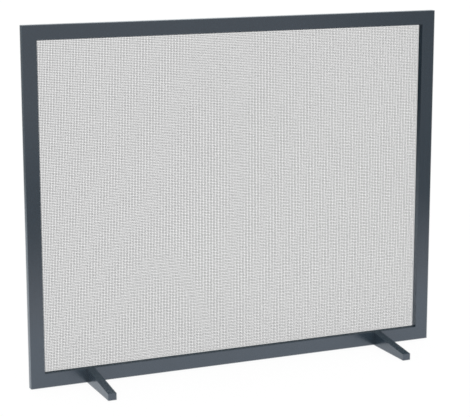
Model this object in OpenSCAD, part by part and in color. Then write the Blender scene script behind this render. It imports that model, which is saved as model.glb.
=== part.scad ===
// Free-standing fireplace screen: a mitred and welded tube frame with woven wire
// mesh clamped to its back, standing on two tapered feet with short rear heels.
// Millimetres. X runs along the screen, -Y is its front, +Z is up.
// The origin is the centre of the bottom rail's underside, on the floor.

/* [Frame] */
// Overall width of the frame
frame_w = 990; // [500:5:1400]
// Overall height of the frame, from the floor
frame_h = 788; // [400:2:1100]
// Width of the tube's front face
face_w = 31.75; // [28:0.25:60]
// Depth of the tube, front to back
tube_depth = 16; // [12:0.5:40]
// Wall of the tube
tube_wall = 1.5; // [1.2:0.1:3]
// Radius along the tube's long edges
tube_edge_r = 0.6; // [0.4:0.1:1.2]

/* [Mesh] */
// Distance from one wire to the next, both ways
wire_pitch = 3.6; // [3.4:0.1:9]
// Diameter of the wire
wire_d = 0.8; // [0.5:0.05:0.85]

/* [Retaining strips] */
// Width of the flat strips that clamp the mesh
strip_w = 13; // [11:0.5:18]
// Thickness of the strips
strip_t = 2.5; // [1.5:0.5:5]
// Step from the frame's inner edge back to the strip
strip_inset = 2; // [0.5:0.5:5]
// How far the cut wire ends stop short of the strip's outer edge
wire_end_cover = 1.5; // [0.5:0.25:3]

/* [Screws] */
// Diameter of the screws, which pass between the wires
screw_d = 2.5; // [2:0.1:2.5]
// Largest distance from one screw to the next
screw_spacing = 200; // [80:10:400]
// Distance from a strip's end to its first screw
screw_end = 30; // [12:1:60]
// Length of screw that comes out inside the tube
screw_tail = 2.5; // [1:0.5:5]
// Diameter of the screw head
head_d = 5; // [4:0.1:6]
// Height of the screw head
head_h = 1.6; // [1:0.1:2.5]

/* [Feet] */
// Width of the feet
foot_w = 19; // [12:0.5:40]
// How far a foot reaches in front of the frame
foot_len = 140; // [80:5:250]
// Height of a foot at its tip
foot_tip_h = 15; // [8:0.5:25]
// Radius along the edges of the feet and heels
foot_edge_r = 0.5; // [0.4:0.1:2]
// Distance from the frame's side to the centre line of a foot
foot_inset = 136.5; // [40:0.5:200]
// How far the heel reaches behind the frame
heel_len = 55; // [30:5:150]
// Gap from the top of the heel up to the retaining strip
heel_gap = 1.75; // [0.5:0.25:5]

/* [Hidden] */
$fn = 32;

// Clearances
hole_clear = 0.1;  // tube hole over the screw's shank, on the diameter
strip_clear = 0.4; // strip hole over the screw's shank, on the diameter
cut = 1;           // overrun of a cutting shape past the face that it opens

// Places, front to back
front_y = -tube_depth / 2;
back_y = tube_depth / 2;
warp_y = back_y + wire_d / 2;
weft_y = warp_y + wire_d;
strip_y = back_y + 2 * wire_d;

// Places across the frame
strip_outer = face_w - strip_inset - strip_w; // from the frame's outer edge to the strip
wire_half_w = frame_w / 2 - strip_outer - wire_end_cover;
wire_half_h = frame_h / 2 - strip_outer - wire_end_cover;
strip_run_w = frame_w - 2 * strip_outer;            // top and bottom strips, full width
strip_run_h = frame_h - 2 * (strip_outer + strip_w); // side strips, between those two
foot_x = frame_w / 2 - foot_inset;
heel_h = strip_outer - heel_gap;

painted_steel = "#47525c";
mesh_steel = "#3c4248";

// The middle of the mesh opening at or above v, measured from the mesh's centre
function opening(v) = (floor(v / wire_pitch) + 0.5) * wire_pitch;

// Screw places along a strip of this length, evenly spaced, each moved to a mesh opening
function screw_places(run) =
    let (span = run - 2 * screw_end, gaps = max(1, ceil(span / screw_spacing)))
    [for (i = [0 : gaps]) opening(-span / 2 + i * span / gaps)];

// How far the screws' line lies inside a side that is half_extent from the mesh's centre
function screw_line(half_extent) =
    half_extent - opening(half_extent - strip_outer - strip_w / 2);

// Each side is drawn as the top side, its outer edge on the X axis and its inside
// below, and is then turned to its place.
module at_top() { translate([0, 0, frame_h]) children(); }
module at_bottom() { rotate([0, 180, 0]) children(); }
module at_right() { translate([frame_w / 2, 0, frame_h / 2]) rotate([0, 90, 0]) children(); }
module at_left() { translate([-frame_w / 2, 0, frame_h / 2]) rotate([0, -90, 0]) children(); }

// A bar along X, centred, with the outline given across Y and Z
module along_x(length) {
    rotate([90, 0, 90]) linear_extrude(length, center = true) children();
}

// The tube's outline: a rectangle with rounded corners, below the outer edge
module tube_outline() {
    translate([front_y, -face_w + tube_edge_r]) square([tube_depth, face_w - 2 * tube_edge_r]);
    translate([front_y + tube_edge_r, -face_w]) square([tube_depth - 2 * tube_edge_r, face_w]);
    for (y = [front_y + tube_edge_r, back_y - tube_edge_r])
        for (z = [-tube_edge_r, -face_w + tube_edge_r])
            translate([y, z]) circle(tube_edge_r);
}

// The trapezium that a side keeps after its ends are cut to 45 degrees
module mitre_wedge(length) {
    inner = length / 2 - face_w - cut;
    outer = length / 2 + cut;
    rotate([90, 0, 0])
        linear_extrude(tube_depth + 2 * cut, center = true)
            polygon([[-outer, cut], [outer, cut], [inner, -face_w - cut], [-inner, -face_w - cut]]);
}

// One side of the frame: hollow tube, mitred ends, tapped holes through its rear wall
module frame_side(length, half_extent, run) {
    color(painted_steel)
    difference() {
        intersection() {
            along_x(length) tube_outline();
            mitre_wedge(length);
        }
        along_x(length + 2 * cut)
            translate([front_y + tube_wall, -face_w + tube_wall])
                square([tube_depth - 2 * tube_wall, face_w - 2 * tube_wall]);
        for (x = screw_places(run))
            translate([x, back_y + cut, -screw_line(half_extent)])
                rotate([90, 0, 0])
                    cylinder(d = screw_d + hole_clear, h = tube_wall + 2 * cut);
    }
}

module top_rail() { at_top() frame_side(frame_w, frame_h / 2, strip_run_w); }
module bottom_rail() { at_bottom() frame_side(frame_w, frame_h / 2, strip_run_w); }
module left_stile() { at_left() frame_side(frame_h, frame_w / 2, strip_run_h); }
module right_stile() { at_right() frame_side(frame_h, frame_w / 2, strip_run_h); }

// The upright wires of the mesh, against the frame's back
module warp_wires() {
    count = floor((wire_half_w - wire_d / 2) / wire_pitch);
    color(mesh_steel)
    for (i = [-count : count])
        translate([i * wire_pitch, warp_y, frame_h / 2])
            cylinder(d = wire_d, h = 2 * wire_half_h, center = true);
}

// The level wires of the mesh, lying on the upright ones
module weft_wires() {
    count = floor((wire_half_h - wire_d / 2) / wire_pitch);
    color(mesh_steel)
    for (i = [-count : count])
        translate([0, weft_y, frame_h / 2 + i * wire_pitch])
            rotate([0, 90, 0]) cylinder(d = wire_d, h = 2 * wire_half_w, center = true);
}

// A flat strip over the mesh's edge, with a clearance hole for each screw
module retaining_strip(length, half_extent, run) {
    color(painted_steel)
    difference() {
        translate([-length / 2, strip_y, -strip_outer - strip_w])
            cube([length, strip_t, strip_w]);
        for (x = screw_places(run))
            translate([x, strip_y + strip_t + cut, -screw_line(half_extent)])
                rotate([90, 0, 0])
                    cylinder(d = screw_d + strip_clear, h = strip_t + 2 * cut);
    }
}

module top_strip() { at_top() retaining_strip(strip_run_w, frame_h / 2, strip_run_w); }
module bottom_strip() { at_bottom() retaining_strip(strip_run_w, frame_h / 2, strip_run_w); }
module left_strip() { at_left() retaining_strip(strip_run_h, frame_w / 2, strip_run_h); }
module right_strip() { at_right() retaining_strip(strip_run_h, frame_w / 2, strip_run_h); }

// A screw with a domed pan head, its head on the strip and its shank through the
// mesh and the tube's rear wall
module pan_screw() {
    shank = strip_t + 2 * wire_d + tube_wall + screw_tail;
    dome_r = (head_d * head_d / 4 + head_h * head_h) / (2 * head_h);
    translate([0, strip_y + strip_t, 0])
    rotate([-90, 0, 0]) {
        translate([0, 0, -shank]) cylinder(d = screw_d, h = shank + head_h / 2);
        intersection() {
            cylinder(d = head_d, h = head_h);
            translate([0, 0, head_h - dome_r]) sphere(dome_r);
        }
    }
}

module side_screws(half_extent, run) {
    for (x = screw_places(run))
        translate([x, 0, -screw_line(half_extent)]) pan_screw();
}

module strip_screws() {
    color(painted_steel) {
        at_top() side_screws(frame_h / 2, strip_run_w);
        at_bottom() side_screws(frame_h / 2, strip_run_w);
        at_left() side_screws(frame_w / 2, strip_run_h);
        at_right() side_screws(frame_w / 2, strip_run_h);
    }
}

// A rectangle that stands on the X axis, with its two lower corners rounded
module round_bottomed(w, h) {
    r = foot_edge_r;
    translate([-w / 2, r]) square([w, h - r]);
    translate([-w / 2 + r, 0]) square([w - 2 * r, h]);
    for (x = [-w / 2 + r, w / 2 - r]) translate([x, r]) circle(r);
}

// A bar that runs forward from the origin, with the outline given across X and Z
module forward(length) {
    rotate([90, 0, 0]) linear_extrude(length) children();
}

// What rounds a bar's end: its plan, with the two corners at the free end rounded
module plan(length, h) {
    linear_extrude(h) translate([0, -length]) round_bottomed(foot_w, length);
}

// A solid bar foot, welded to the front of the bottom rail: as high as the rail
// where they meet, and sloping straight down to its tip
module front_foot(x) {
    slope = atan((face_w - foot_tip_h) / foot_len);
    color(painted_steel)
    translate([x, front_y, 0])
        intersection() {
            forward(foot_len) round_bottomed(foot_w, face_w + cut);
            translate([0, 0, face_w]) rotate([slope, 0, 0]) translate([0, face_w, 0])
                forward(2 * face_w + foot_len) mirror([0, 1]) round_bottomed(foot_w, 2 * face_w);
            plan(foot_len, face_w);
        }
}

module left_front_foot() { front_foot(-foot_x); }
module right_front_foot() { front_foot(foot_x); }

// A short solid heel, welded to the back of the bottom rail below the strip
module rear_heel(x) {
    color(painted_steel)
    translate([x, back_y, 0]) rotate([0, 0, 180])
        intersection() {
            forward(heel_len) round_bottomed(foot_w, heel_h + cut);
            translate([0, 0, heel_h]) forward(heel_len) mirror([0, 1]) round_bottomed(foot_w, heel_h + cut);
            plan(heel_len, heel_h);
        }
}

module left_rear_heel() { rear_heel(-foot_x); }
module right_rear_heel() { rear_heel(foot_x); }

top_rail();
bottom_rail();
left_stile();
right_stile();
warp_wires();
weft_wires();
top_strip();
bottom_strip();
left_strip();
right_strip();
strip_screws();
left_front_foot();
right_front_foot();
left_rear_heel();
right_rear_heel();
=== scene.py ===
"""Looks of the fireplace screen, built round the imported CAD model.

The painted tubes, strips and feet keep their CAD shape and get a satin enamel. The
two layers of straight CAD wires are replaced by the real weave: every wire goes over
and under the wires that it crosses. The CAD screws are replaced by cross-recessed
ones, and the heels by ones that slope a little to their ends.

Lengths are in metres in the CAD frame: x across, y away from the camera, z up.
"""

import math

import bmesh
import bpy
import numpy as np
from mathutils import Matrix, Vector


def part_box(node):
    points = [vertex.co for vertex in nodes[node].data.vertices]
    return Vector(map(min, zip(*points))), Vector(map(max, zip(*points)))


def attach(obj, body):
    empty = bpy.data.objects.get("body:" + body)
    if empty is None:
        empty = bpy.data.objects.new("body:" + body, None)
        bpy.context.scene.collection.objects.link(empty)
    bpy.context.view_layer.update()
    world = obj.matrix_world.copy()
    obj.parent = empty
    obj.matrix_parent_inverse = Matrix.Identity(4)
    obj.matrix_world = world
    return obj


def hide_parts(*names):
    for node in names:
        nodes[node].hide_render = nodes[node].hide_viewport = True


MM = 0.001

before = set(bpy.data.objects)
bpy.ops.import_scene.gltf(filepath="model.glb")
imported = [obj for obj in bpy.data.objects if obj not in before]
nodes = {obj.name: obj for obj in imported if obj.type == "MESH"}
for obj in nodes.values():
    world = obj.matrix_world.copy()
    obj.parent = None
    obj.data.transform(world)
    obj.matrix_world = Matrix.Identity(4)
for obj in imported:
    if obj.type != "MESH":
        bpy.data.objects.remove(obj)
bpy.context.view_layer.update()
scene = bpy.context.scene

# ---------------------------------------------------------------- camera
CAMERA_PLACE = (-1.4325, -3.2111, 1.0792)
CAMERA_YAW = 23.9216         # degrees from +Y towards +X
CAMERA_PITCH = 11.5779       # degrees below the horizon
CAMERA_LENS = 122.028        # mm
CAMERA_SENSOR = 36           # mm wide
CAMERA_NEAR = 0.05
CAMERA_FAR = 200
FILTER_WIDTH = 1.72          # pixels: soft as the photo, so that the mesh doesn't glitter

# ---------------------------------------------------------------- woven mesh
WIRE_PITCH = 3.6 * MM
PLATEAU = 0.15               # half of the flat over a crossing, in pitches
SECTION_SIDES = 6
# Mean width of a circle over that of the section with its corners on that circle
SECTION_WIDENING = math.pi / (SECTION_SIDES * math.sin(math.pi / SECTION_SIDES))
WIRES_PER_PIECE = {"warp": 38, "weft": 30}
# Alternate wires lean together by the shift. The growth is the part of it that comes
# on top on the way from the middle to the right edge (upright wires) or to the top edge
# (level wires, which lean less there)
PAIR_SHIFT_ACROSS = 0.237 * MM
PAIR_GROWTH_ACROSS = 0.22
PAIR_SHIFT_UP = 0.175 * MM
PAIR_GROWTH_UP = -0.60
# Slow waves in the cloth: size, then waves across and up, then phase
WAVES_ACROSS = (
    (0.42 * MM, 1.3, 0.8, 0.4),
    (0.22 * MM, 2.6, 1.9, 2.1),
    (0.10 * MM, 4.3, 3.1, 5.0),
)
WAVES_UP = (
    (0.40 * MM, 0.9, 1.4, 1.7),
    (0.20 * MM, 2.2, 2.7, 3.9),
    (0.10 * MM, 3.7, 4.6, 0.9),
)
WAVE_POWER = 8               # the higher, the nearer to the edges the waves die down
WIRE_SCATTER = 0.03 * MM     # how far a whole wire strays from its even place,
CROSSING_SCATTER = 0.03 * MM  # and one crossing
SCATTER_SEED = 7
# The strips hold the rim even: lean, waves and scatter fade out between these two
# shares of the way from the middle to the wires' ends
RIM_FREE = 0.93
RIM_HELD = 0.976

# ---------------------------------------------------------------- screws
SCREW_APART = 20 * MM        # two screws are never as near to each other as this
HEAD_D = 5 * MM
HEAD_H = 1.6 * MM
HEAD_RIM = 0.55              # height of the head's upright rim, in head heights
HEAD_FOOT = 0.08 * MM        # bevel where the head meets the strip
DOME_STEPS = (0.2, 0.4, 0.6, 0.75, 0.87, 0.95, 1.0)  # rings from the recess to the rim
RECESS_HALF_WIDTH = 0.42 * MM
RECESS_REACH = 1.30 * MM     # from the middle to the end of an arm of the cross
RECESS_DEPTH = 1.0 * MM
RECESS_POINT = 0.1 * MM      # how much deeper its floor is in the middle
RECESS_TAPER = 0.55          # size of the recess at its floor, in sizes at its top,
RECESS_LIP = 0.96            # and a little under its top,
RECESS_LIP_DEPTH = 0.08 * MM  # this far
RECESS_SIDE_ANGLES = (0.44, 0.58)  # radians from an arm's axis: more points on its side
SHANK_D = 2.5 * MM
THREAD_PITCH = 0.45 * MM
THREAD_DEPTH = 0.12 * MM
SHARP_ANGLE = 35             # degrees: a screw's edges from here on look sharp
SAME_POINT = 0.001 * MM      # points nearer to each other than this become one

# ---------------------------------------------------------------- heels
HEEL_FALL = 2.5 * MM         # how much lower a heel is at its end than at the rail
HEEL_EDGE = 0.5 * MM         # radius of a heel's edges
HEEL_EDGE_STEPS = 4
ROUND = 0.5                  # profile of a round bevel

# ---------------------------------------------------------------- paint
PLAIN = (1.0, 1.0, 1.0, 1.0)  # no tint
SLATE = (0.0140, 0.0300, 0.0440)
SLATE_IOR = 1.95
SLATE_SHINE = (0.935, 0.93, 1.0, 1.0)
BLACK = (0.014, 0.016, 0.018)
BLACK_IOR = 1.5
# Colour, roughness, depth of the orange peel, index of refraction, tint of the shine
FRAME_ENAMEL = (SLATE, 0.23, 0.012 * MM, SLATE_IOR, SLATE_SHINE)
WIRE_ENAMEL = (BLACK, 0.40, 0.010 * MM, BLACK_IOR, PLAIN)
SCREW_ENAMEL = (SLATE, 0.26, 0.020 * MM, SLATE_IOR, SLATE_SHINE)
# Unevenness of every enamel: scale and detail of its noise
CLOUD_NOISE = (9.0, 3.0)
GLOSS_NOISE = (60.0, 4.0)
PEEL_NOISE = (900.0, 2.0)
CLOUD_SWING = 0.05           # part by which the colour gets darker and lighter
GLOSS_SWING = 0.03           # how far the roughness goes down and up
GLOSS_FROM = 0.3             # noise that gives the lowest roughness,
GLOSS_TO = 0.7               # and the highest

# ---------------------------------------------------------------- floor and lights
FLOOR_HALF = 60.0
FLOOR_GLOW = 0.922           # the floor's own light where it is looked at,
FLOOR_DIFFUSE = 0.09         # how much of the light on it shows there,
FLOOR_WHITE = 0.92           # and how much of it the floor throws back at the object
FLOOR_REFLECTED_TINT = (0.94, 1.01, 1.06, 1.0)  # painted bluish reflection: the floor is bluer to glossy rays only
WORLD_LIGHT = 0.6            # strength of the white surroundings as a light
LAMP_ANGLE = 70              # degrees: how wide a lamp looks
# How white a lamp alone makes a white floor, then its tilt and bearing in degrees
LAMPS = ((0.30, 35, -25), (0.16, 35, 150))

# ---------------------------------------------------------------- reflection card
CARD_FRONT = -0.5            # the card is a box without top and bottom, from this y
CARD_BACK = 1.0              # to this y
CARD_SIDE = 1.1              # and this far to each side
CARD_TOP = 3.0
REAR_FROM = CARD_FRONT + 0.1  # the front's levels change into the rear's from this y
REAR_TO = CARD_FRONT + 0.5   # to this y
REAR_TINT = (0.91, 1.0, 1.05, 1.0)  # painted bluish reflection in the side and top faces
# Ramps of brightness, which paint the reflections on the faces named: level at the start
# and at the end, then start and end, across for an X and up for a Z
FRONT_X = (0.34, 0.29, -0.3, 0.7)
FRONT_LOW_Z = (0.65, 0.0, 0.0, 0.24)
FRONT_HIGH_X = (0.225, 0.045, 0.38, 0.76)
FRONT_HIGH_SPAN = (0.34, 0.535)   # up, from nothing to FRONT_HIGH_X
REAR_LEFT = 0.35
REAR_LEFT_LOW_Z = (0.57, 0.0, 0.08, 0.30)    # for the left side of the frame
REAR_LEFT_SPAN = (-0.70, -0.25)   # across, from the rear's left part to the rest
REAR_LOW_Z = (1.0, 0.03, 0.06, 0.42)         # for the top of the bottom rail
REAR_HIGH_RISE_X = (0.0, 0.25, -0.05, 0.15)  # for the tops of the rails and feet
REAR_HIGH_FALL_X = (0.0, 0.10, 0.2, 0.9)
REAR_HIGH_Z = (0.0, 1.0, 0.40, 0.50)
TOP_LIGHT_Z = (0.0, 0.60, 0.78, 0.84)        # for the tops of the top rail and feet
FOOT_LIGHT_RISE_X = (0.0, 0.22, -0.06, 0.02)  # for the top of the left foot
FOOT_LIGHT_FALL_X = (0.0, 0.22, 0.2, 0.9)
FOOT_LIGHT_Z = (0.0, 1.0, 0.58, 0.66)


def link(obj):
    scene.collection.objects.link(obj)
    return obj


def make_camera():
    data = bpy.data.cameras.new("camera")
    data.lens = CAMERA_LENS
    data.sensor_width = CAMERA_SENSOR
    data.clip_start = CAMERA_NEAR
    data.clip_end = CAMERA_FAR
    camera = link(bpy.data.objects.new("camera", data))
    camera.location = CAMERA_PLACE
    camera.rotation_euler = (math.radians(90 - CAMERA_PITCH), 0, math.radians(-CAMERA_YAW))
    scene.camera = camera


# ---------------------------------------------------------------- materials
class Graph:
    """The nodes of a material or a world, with short ways to add and join them."""

    def __init__(self, owner, output):
        owner.use_nodes = True
        self.owner = owner
        self.tree = owner.node_tree
        self.tree.nodes.clear()
        self.out = self.add(output)

    def add(self, kind, inputs=None, **settings):
        node = self.tree.nodes.new(kind)
        for key, value in settings.items():
            setattr(node, key, value)
        for key, value in (inputs or {}).items():
            if isinstance(value, bpy.types.NodeSocket):
                self.tree.links.new(value, node.inputs[key])
            else:
                node.inputs[key].default_value = value
        return node

    def maths(self, operation, a, b):
        return self.add("ShaderNodeMath", {0: a, 1: b}, operation=operation).outputs[0]

    def total(self, first, *others):
        for other in others:
            first = self.maths("ADD", first, other)
        return first

    def noise(self, place, scale, detail):
        inputs = {"Vector": place, "Scale": scale, "Detail": detail}
        return self.add("ShaderNodeTexNoise", inputs).outputs["Fac"]

    def spread(self, value, low, high, start=0.0, end=1.0):
        """A ramp from low to high while the value goes from start to end."""
        inputs = {"Value": value, "To Min": low, "To Max": high}
        inputs.update({"From Min": start, "From Max": end})
        return self.add("ShaderNodeMapRange", inputs).outputs["Result"]

    def patch(self, x, z, rise, fall, up):
        """A patch that comes and goes along x, and comes along z."""
        across = self.maths("SUBTRACT", self.spread(x, *rise), self.spread(x, *fall))
        return self.maths("MULTIPLY", across, self.spread(z, *up))

    def blend(self, factor, first, second):
        """A colour between two colours."""
        node = self.add("ShaderNodeMix", {"Factor": factor}, data_type="RGBA")
        node.inputs["A"].default_value = first
        node.inputs["B"].default_value = second
        return node.outputs["Result"]

    def looked_at(self, path):
        """1 for a ray from the camera, off a shiny face or through glass, else 0."""
        seen = self.maths("MAXIMUM", path["Is Camera Ray"], path["Is Glossy Ray"])
        return self.maths("MAXIMUM", seen, path["Is Transmission Ray"])

    def shade(self, shader):
        self.tree.links.new(shader.outputs[0], self.out.inputs["Surface"])
        return self.owner


def material_graph(name):
    return Graph(bpy.data.materials.new(name), "ShaderNodeOutputMaterial")


def scaled(colour, factor):
    return tuple(c * factor for c in colour[:3]) + (1.0,)


def enamel(name, colour, roughness, peel, ior, shine):
    """Sprayed enamel: faint cloudiness, uneven gloss, and orange peel in the surface."""
    g = material_graph(name)
    place = g.add("ShaderNodeTexCoord").outputs["Object"]
    clouds = g.noise(place, *CLOUD_NOISE)
    gloss = g.noise(place, *GLOSS_NOISE)
    bumps = g.noise(place, *PEEL_NOISE)
    darkest, lightest = scaled(colour, 1 - CLOUD_SWING), scaled(colour, 1 + CLOUD_SWING)
    smoothest, roughest = roughness - GLOSS_SWING, roughness + GLOSS_SWING
    bump = g.add("ShaderNodeBump", {"Strength": 1.0, "Distance": peel, "Height": bumps})
    return g.shade(g.add(
        "ShaderNodeBsdfPrincipled",
        {
            "Base Color": g.blend(clouds, darkest, lightest),
            "Roughness": g.spread(gloss, smoothest, roughest, GLOSS_FROM, GLOSS_TO),
            "IOR": ior,
            "Specular Tint": shine,
            "Normal": bump.outputs["Normal"],
        },
    ))


def dress(name, material):
    """Gives a CAD node's object this material."""
    slots = nodes[name].material_slots
    for slot in slots:
        slot.material = material
    if not slots:
        nodes[name].data.materials.append(material)


# ---------------------------------------------------------------- woven mesh
def cloth_shift(x, z, waves):
    """How far the slow waves move the cloth's point (x, z), both from -1 to 1."""
    shift = 0.0
    for size, across, up, phase in waves:
        shift = shift + size * np.sin(math.pi * (across * x + up * z) + phase)
    return shift


def crossings(warp_count, weft_count, half_w, half_h):
    """Where the wires cross, across and up from the middle, and which wire is in front,
    as arrays over upright and level wires. The counts are those of the wires on each
    side of the middle one."""
    i = np.arange(-warp_count, warp_count + 1)[:, None]
    j = np.arange(-weft_count, weft_count + 1)[None, :]
    x, z = np.broadcast_arrays(i * WIRE_PITCH, j * WIRE_PITCH)
    u, v = x / half_w, z / half_h
    calm = (1 - np.abs(u) ** WAVE_POWER) * (1 - np.abs(v) ** WAVE_POWER)
    far = np.maximum(np.abs(u), np.abs(v))
    free = np.clip((RIM_HELD - far) / (RIM_HELD - RIM_FREE), 0, 1)
    chance = np.random.default_rng(SCATTER_SEED)
    shift_x = PAIR_SHIFT_ACROSS * (1 + PAIR_GROWTH_ACROSS * u) * (-1.0) ** i
    shift_z = PAIR_SHIFT_UP * (1 + PAIR_GROWTH_UP * v) * (-1.0) ** j
    shift_x = shift_x + calm * cloth_shift(u, v, WAVES_ACROSS)
    shift_z = shift_z + calm * cloth_shift(u, v, WAVES_UP)
    shift_x = shift_x + chance.normal(0, WIRE_SCATTER, i.shape)
    shift_x = shift_x + chance.normal(0, CROSSING_SCATTER, x.shape)
    shift_z = shift_z + chance.normal(0, WIRE_SCATTER, j.shape)
    shift_z = shift_z + chance.normal(0, CROSSING_SCATTER, z.shape)
    over = (-1.0) ** (i + j)
    return x + free * shift_x, z + free * shift_z, over


def wire_path(along, aside, over, half_length, radius):
    """A wire's points as (along, aside, out): it has a short flat at each crossing, one
    radius to the front or to the back, and comes to the middle at its ends."""
    flat = PLATEAU * WIRE_PITCH
    along = np.stack([along - flat, along + flat], 1).ravel()
    out = np.repeat(over * radius, 2)
    return (
        np.concatenate([[-half_length], along, [half_length]]),
        np.concatenate([aside[:1], np.repeat(aside, 2), aside[-1:]]),
        np.concatenate([[0.0], out, [0.0]]),
    )


def wire_tube(along, aside, over, half_length, radius):
    """A wire's surface points, rings by sides, as (along, aside, out)."""
    along, aside, out = wire_path(along, aside, over, half_length, radius)
    run, rise = np.gradient(along), np.gradient(out)
    length = np.hypot(run, rise)
    angle = np.arange(SECTION_SIDES) * 2 * math.pi / SECTION_SIDES
    corner = radius * SECTION_WIDENING
    sideways, outward = corner * np.cos(angle)[None, :], corner * np.sin(angle)[None, :]
    return (
        along[:, None] - outward * (rise / length)[:, None],
        aside[:, None] + sideways,
        out[:, None] + outward * (run / length)[:, None],
    )


def tube_faces(rings, start):
    """Quads between the rings of a tube, and its two ends, as lists of points. The
    tube's first point has the number start."""
    side = np.arange(SECTION_SIDES)
    r = np.arange(rings - 1)[:, None] * SECTION_SIDES
    k = side[None, :]
    n = (k + 1) % SECTION_SIDES
    quads = np.stack([r + k, r + n, r + SECTION_SIDES + n, r + SECTION_SIDES + k], -1)
    first = side[::-1]
    last = (rings - 1) * SECTION_SIDES + side
    return quads.reshape(-1, 4) + start, first + start, last + start


def mesh_from(name, points, quads, ends):
    """A mesh from arrays of points, of smooth quads and of flat end faces."""
    mesh = bpy.data.meshes.new(name)
    corners = np.concatenate([quads.ravel(), ends.ravel()])
    starts = np.concatenate([
        np.arange(len(quads)) * 4,
        quads.size + np.arange(len(ends)) * SECTION_SIDES,
    ])
    mesh.vertices.add(len(points))
    mesh.vertices.foreach_set("co", points.astype(np.float32).ravel())
    mesh.loops.add(len(corners))
    mesh.loops.foreach_set("vertex_index", corners.astype(np.int32))
    mesh.polygons.add(len(starts))
    mesh.polygons.foreach_set("loop_start", starts.astype(np.int32))
    mesh.update(calc_edges=True)
    mesh.polygons.foreach_set("use_smooth", np.arange(len(starts)) < len(quads))
    mesh.validate()
    return mesh


def weave(kind, node, material, wires, place):
    """Makes the pieces that hold one direction's wires. place turns (along, aside,
    out) into the CAD frame."""
    batch = WIRES_PER_PIECE[kind]
    for number, first in enumerate(range(0, len(wires), batch), 1):
        points, quads, ends, start = [], [], [], 0
        for tube in wires[first:first + batch]:
            points.append(place(*tube).reshape(-1, 3))
            between, low, high = tube_faces(len(tube[0]), start)
            quads.append(between)
            ends += [low, high]
            start += len(points[-1])
        name = f"{kind}_wires_woven_{number}"
        points, quads = np.concatenate(points), np.concatenate(quads)
        mesh = mesh_from(name, points, quads, np.array(ends))
        mesh.materials.append(material)
        piece = link(bpy.data.objects.new(name, mesh))
        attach(piece, "root")
        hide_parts(node)


def woven_mesh(material):
    """The weave in place of the CAD's two layers of straight wires."""
    warp_lo, warp_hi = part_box("warp_wires")
    weft_lo, weft_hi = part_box("weft_wires")
    radius = (warp_hi.y - warp_lo.y) / 2
    middle_y = (warp_lo.y + weft_hi.y) / 2
    middle_z = (warp_lo.z + warp_hi.z) / 2
    half_w = (weft_hi.x - weft_lo.x) / 2
    half_h = (warp_hi.z - warp_lo.z) / 2
    warp_count = round((warp_hi.x - radius) / WIRE_PITCH)
    weft_count = round((weft_hi.z - middle_z - radius) / WIRE_PITCH)
    x, z, over = crossings(warp_count, weft_count, half_w, half_h)

    upright = [
        wire_tube(z[i], x[i], over[i], half_h, radius) for i in range(x.shape[0])
    ]
    level = [
        wire_tube(x[:, j], z[:, j], over[:, j], half_w, radius) for j in range(x.shape[1])
    ]
    weave("warp", "warp_wires", material, upright,
          lambda along, aside, out: np.stack([aside, middle_y + out, middle_z + along], -1))
    weave("weft", "weft_wires", material, level,
          lambda along, aside, out: np.stack([along, middle_y - out, middle_z + aside], -1))


# ---------------------------------------------------------------- screws
def screw_spots():
    """The middle of each CAD screw, and the y of its ends."""
    mesh = nodes["strip_screws"].data
    points = np.empty(len(mesh.vertices) * 3)
    mesh.vertices.foreach_get("co", points)
    points = points.reshape(-1, 3)
    spots = []
    while len(points):
        near = np.hypot(*(points - points[0])[:, [0, 2]].T) < SCREW_APART
        low, high = points[near].min(0), points[near].max(0)
        spots.append(((low + high) / 2, low[1], high[1]))
        points = points[~near]
    return spots


def cross_reach(angle):
    """How far the cross recess's outline lies from the middle, at this angle."""
    quarter = math.pi / 2
    off_axis = abs((angle + quarter / 2) % quarter - quarter / 2)
    if off_axis < math.atan2(RECESS_HALF_WIDTH, RECESS_REACH):
        return RECESS_REACH / math.cos(off_axis)
    return RECESS_HALF_WIDTH / math.sin(off_axis)


def screw_angles():
    """Angles round the screw, with one at each corner of the cross recess."""
    arm = (math.atan2(RECESS_HALF_WIDTH, RECESS_REACH), *RECESS_SIDE_ANGLES)
    quarter = [-math.pi / 4, *(-a for a in reversed(arm)), 0.0, *arm]
    return [k * math.pi / 2 + a for k in range(4) for a in quarter]


def screw_rings(shank):
    """Rings of the screw from the middle of its recess to its point. Each is a function
    that gives a radius for an angle, and one that gives a height over the strip for
    that radius."""
    radius = HEAD_D / 2
    rim = HEAD_H * HEAD_RIM
    dome = HEAD_H - rim
    floor = HEAD_H - RECESS_DEPTH
    root = SHANK_D / 2 - THREAD_DEPTH

    def crown(r):
        return rim + dome * math.sqrt(max(0.0, 1 - (r / radius) ** 2))

    def circle(size, height):
        return (lambda angle: size), (lambda r: height)

    rings = [
        circle(0.0, floor - RECESS_POINT),
        (lambda a: RECESS_TAPER * cross_reach(a), lambda r: floor),
        (lambda a: RECESS_LIP * cross_reach(a), lambda r: crown(r) - RECESS_LIP_DEPTH),
        (cross_reach, crown),
    ]
    for step in DOME_STEPS:
        rings.append((lambda a, t=step: (1 - t) * cross_reach(a) + t * radius, crown))
    rings += [circle(radius, HEAD_FOOT), circle(radius - HEAD_FOOT, 0.0)]
    turns = int(shank / THREAD_PITCH)
    for k in range(turns):
        rings.append(circle(root, -k * THREAD_PITCH))
        rings.append(circle(SHANK_D / 2, -(k + 0.5) * THREAD_PITCH))
    rings += [circle(root, -turns * THREAD_PITCH), circle(0.0, -shank)]
    return rings


def add_screw(work, middle, front, back, turn):
    """Adds one screw's surface to a bmesh, as quads between its rings."""
    angles = screw_angles()
    seat = back - HEAD_H
    loops = []
    for radius, height in screw_rings(back - front - HEAD_H):
        loop = []
        for angle in angles:
            r = radius(angle)
            loop.append(work.verts.new((
                middle[0] + r * math.cos(angle + turn),
                seat + height(r),
                middle[2] + r * math.sin(angle + turn),
            )))
        loops.append(loop)
    for upper, lower in zip(loops, loops[1:]):
        for k in range(len(angles)):
            n = (k + 1) % len(angles)
            work.faces.new((upper[k], upper[n], lower[n], lower[k]))


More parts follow.
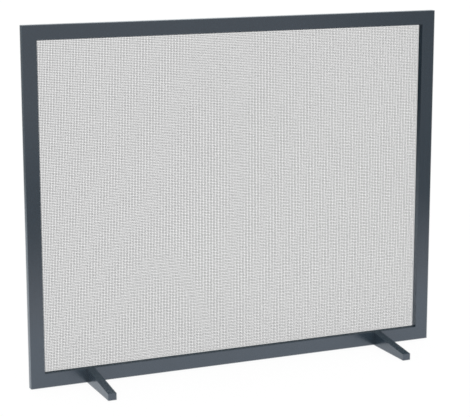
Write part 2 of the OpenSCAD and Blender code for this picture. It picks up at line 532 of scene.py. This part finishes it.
def screws(material):
    """Pan heads with a cross recess, and threaded shanks, in place of the CAD screws."""
    work = bmesh.new()
    chance = np.random.default_rng(SCATTER_SEED)
    for middle, front, back in screw_spots():
        add_screw(work, middle, front, back, chance.uniform(0, math.pi / 2))
    bmesh.ops.remove_doubles(work, verts=work.verts, dist=SAME_POINT)
    bmesh.ops.recalc_face_normals(work, faces=work.faces)
    for face in work.faces:
        face.smooth = True
    mesh = bpy.data.meshes.new("strip_screws_recessed")
    work.to_mesh(mesh)
    work.free()
    mesh.set_sharp_from_angle(angle=math.radians(SHARP_ANGLE))
    mesh.materials.append(material)
    piece = link(bpy.data.objects.new("strip_screws_recessed", mesh))
    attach(piece, "root")
    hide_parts("strip_screws")


# ---------------------------------------------------------------- heels
def heel(node, material):
    """A heel whose top falls a little towards its end, in place of the CAD's level one."""
    low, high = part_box(node)
    work = bmesh.new()
    ends = []
    for y, top in ((low.y, high.z), (high.y, high.z - HEEL_FALL)):
        corners = ((low.x, low.z), (high.x, low.z), (high.x, top), (low.x, top))
        ends.append([work.verts.new((x, y, z)) for x, z in corners])
        work.faces.new(ends[-1])
    for k in range(4):
        n = (k + 1) % 4
        work.faces.new((ends[0][k], ends[0][n], ends[1][n], ends[1][k]))
    bmesh.ops.recalc_face_normals(work, faces=work.faces)
    free_edges = [e for e in work.edges if not all(v in ends[0] for v in e.verts)]
    bmesh.ops.bevel(work, geom=free_edges, offset=HEEL_EDGE, segments=HEEL_EDGE_STEPS,
                    profile=ROUND, affect="EDGES")
    mesh = bpy.data.meshes.new(node + "_sloped")
    work.to_mesh(mesh)
    work.free()
    mesh.materials.append(material)
    piece = link(bpy.data.objects.new(mesh.name, mesh))
    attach(piece, "root")
    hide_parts(node)


# ---------------------------------------------------------------- stage
def plain_piece(name, points, faces, material):
    mesh = bpy.data.meshes.new(name)
    mesh.from_pydata(points, [], faces)
    mesh.materials.append(material)
    return link(bpy.data.objects.new(name, mesh))


def make_floor():
    """A white floor, which is even where it is looked at, and which lights the object
    from below as a real one would."""
    g = material_graph("floor_white")
    path = g.add("ShaderNodeLightPath").outputs
    # Painted bluish reflection: glossy rays see the floor a little bluer than the camera
    # does
    tint = g.blend(path["Is Glossy Ray"], PLAIN, FLOOR_REFLECTED_TINT)
    glow = g.add("ShaderNodeEmission", {"Color": tint, "Strength": FLOOR_GLOW})
    diffuse = g.add("ShaderNodeBsdfDiffuse", {"Color": scaled(PLAIN, FLOOR_DIFFUSE)})
    seen = g.add("ShaderNodeAddShader", {0: diffuse.outputs[0], 1: glow.outputs[0]})
    unseen = g.add("ShaderNodeBsdfDiffuse", {"Color": scaled(PLAIN, FLOOR_WHITE)})
    either = {0: g.looked_at(path), 1: unseen.outputs[0], 2: seen.outputs[0]}
    material = g.shade(g.add("ShaderNodeMixShader", either))

    corners = [(-FLOOR_HALF, -FLOOR_HALF, 0), (FLOOR_HALF, -FLOOR_HALF, 0),
               (FLOOR_HALF, FLOOR_HALF, 0), (-FLOOR_HALF, FLOOR_HALF, 0)]
    plane = plain_piece("floor", corners, [(0, 1, 2, 3)], material)


def card_front(g, x, z):
    """The card's brightness in front of the object, which the front faces mirror."""
    high = g.spread(z, 0.0, g.spread(x, *FRONT_HIGH_X), *FRONT_HIGH_SPAN)
    return g.total(g.spread(x, *FRONT_X), g.spread(z, *FRONT_LOW_Z), high)


def card_rear(g, x, z):
    """The card's brightness behind the object, which the side and top faces mirror."""
    left = g.total(REAR_LEFT, g.spread(z, *REAR_LEFT_LOW_Z))
    high = g.patch(x, z, REAR_HIGH_RISE_X, REAR_HIGH_FALL_X, REAR_HIGH_Z)
    rest = g.total(high, g.spread(z, *REAR_LOW_Z))
    across = g.spread(x, left, rest, *REAR_LEFT_SPAN)
    foot = g.patch(x, z, FOOT_LIGHT_RISE_X, FOOT_LIGHT_FALL_X, FOOT_LIGHT_Z)
    return g.total(across, g.spread(z, *TOP_LIGHT_Z), foot)


def make_card():
    """A dim glowing card round the object, which only reflections see: painted reflection.
    """
    g = material_graph("reflection_card")
    place = g.add("ShaderNodeNewGeometry").outputs["Position"]
    x, y, z = g.add("ShaderNodeSeparateXYZ", {"Vector": place}).outputs
    rear = g.spread(y, 0.0, 1.0, REAR_FROM, REAR_TO)
    level = g.spread(rear, card_front(g, x, z), card_rear(g, x, z))
    # Painted bluish reflection: the card's rear, which the side and top faces mirror, is
    # bluer
    tint = g.blend(rear, PLAIN, REAR_TINT)
    material = g.shade(g.add("ShaderNodeEmission", {"Color": tint, "Strength": level}))

    ring = [(-CARD_SIDE, CARD_FRONT), (CARD_SIDE, CARD_FRONT),
            (CARD_SIDE, CARD_BACK), (-CARD_SIDE, CARD_BACK)]
    points = [(x, y, h) for h in (0.0, CARD_TOP) for x, y in ring]
    faces = [(k, (k + 1) % 4, 4 + (k + 1) % 4, 4 + k) for k in range(4)]
    card = plain_piece("reflection_card", points, faces, material)
    card.visible_camera = False
    card.visible_diffuse = False
    card.visible_transmission = False
    card.visible_shadow = False


def make_lights():
    """White surroundings, dimmer as a light than to look at, and two soft lamps."""
    g = Graph(bpy.data.worlds.new("studio"), "ShaderNodeOutputWorld")
    seen = g.looked_at(g.add("ShaderNodeLightPath").outputs)
    level = g.spread(seen, WORLD_LIGHT, 1.0)
    light = g.add("ShaderNodeBackground", {"Color": PLAIN, "Strength": level})
    scene.world = g.shade(light)

    for number, (share, tilt, bearing) in enumerate(LAMPS, 1):
        data = bpy.data.lights.new(f"softbox_{number}", "SUN")
        data.angle = math.radians(LAMP_ANGLE)
        data.energy = math.pi * share / math.cos(math.radians(tilt))
        lamp = link(bpy.data.objects.new(f"softbox_{number}", data))
        lamp.rotation_euler = (math.radians(tilt), 0, math.radians(bearing))
        lamp.visible_glossy = False


make_camera()
frame_paint = enamel("frame_enamel", *FRAME_ENAMEL)
wire_paint = enamel("wire_enamel", *WIRE_ENAMEL)
screw_paint = enamel("screw_enamel", *SCREW_ENAMEL)
for name in nodes:
    dress(name, frame_paint)
woven_mesh(wire_paint)
screws(screw_paint)
heel("left_rear_heel", frame_paint)
heel("right_rear_heel", frame_paint)
make_floor()
make_card()
make_lights()

scene.view_settings.view_transform = "Standard"
scene.cycles.filter_width = FILTER_WIDTH
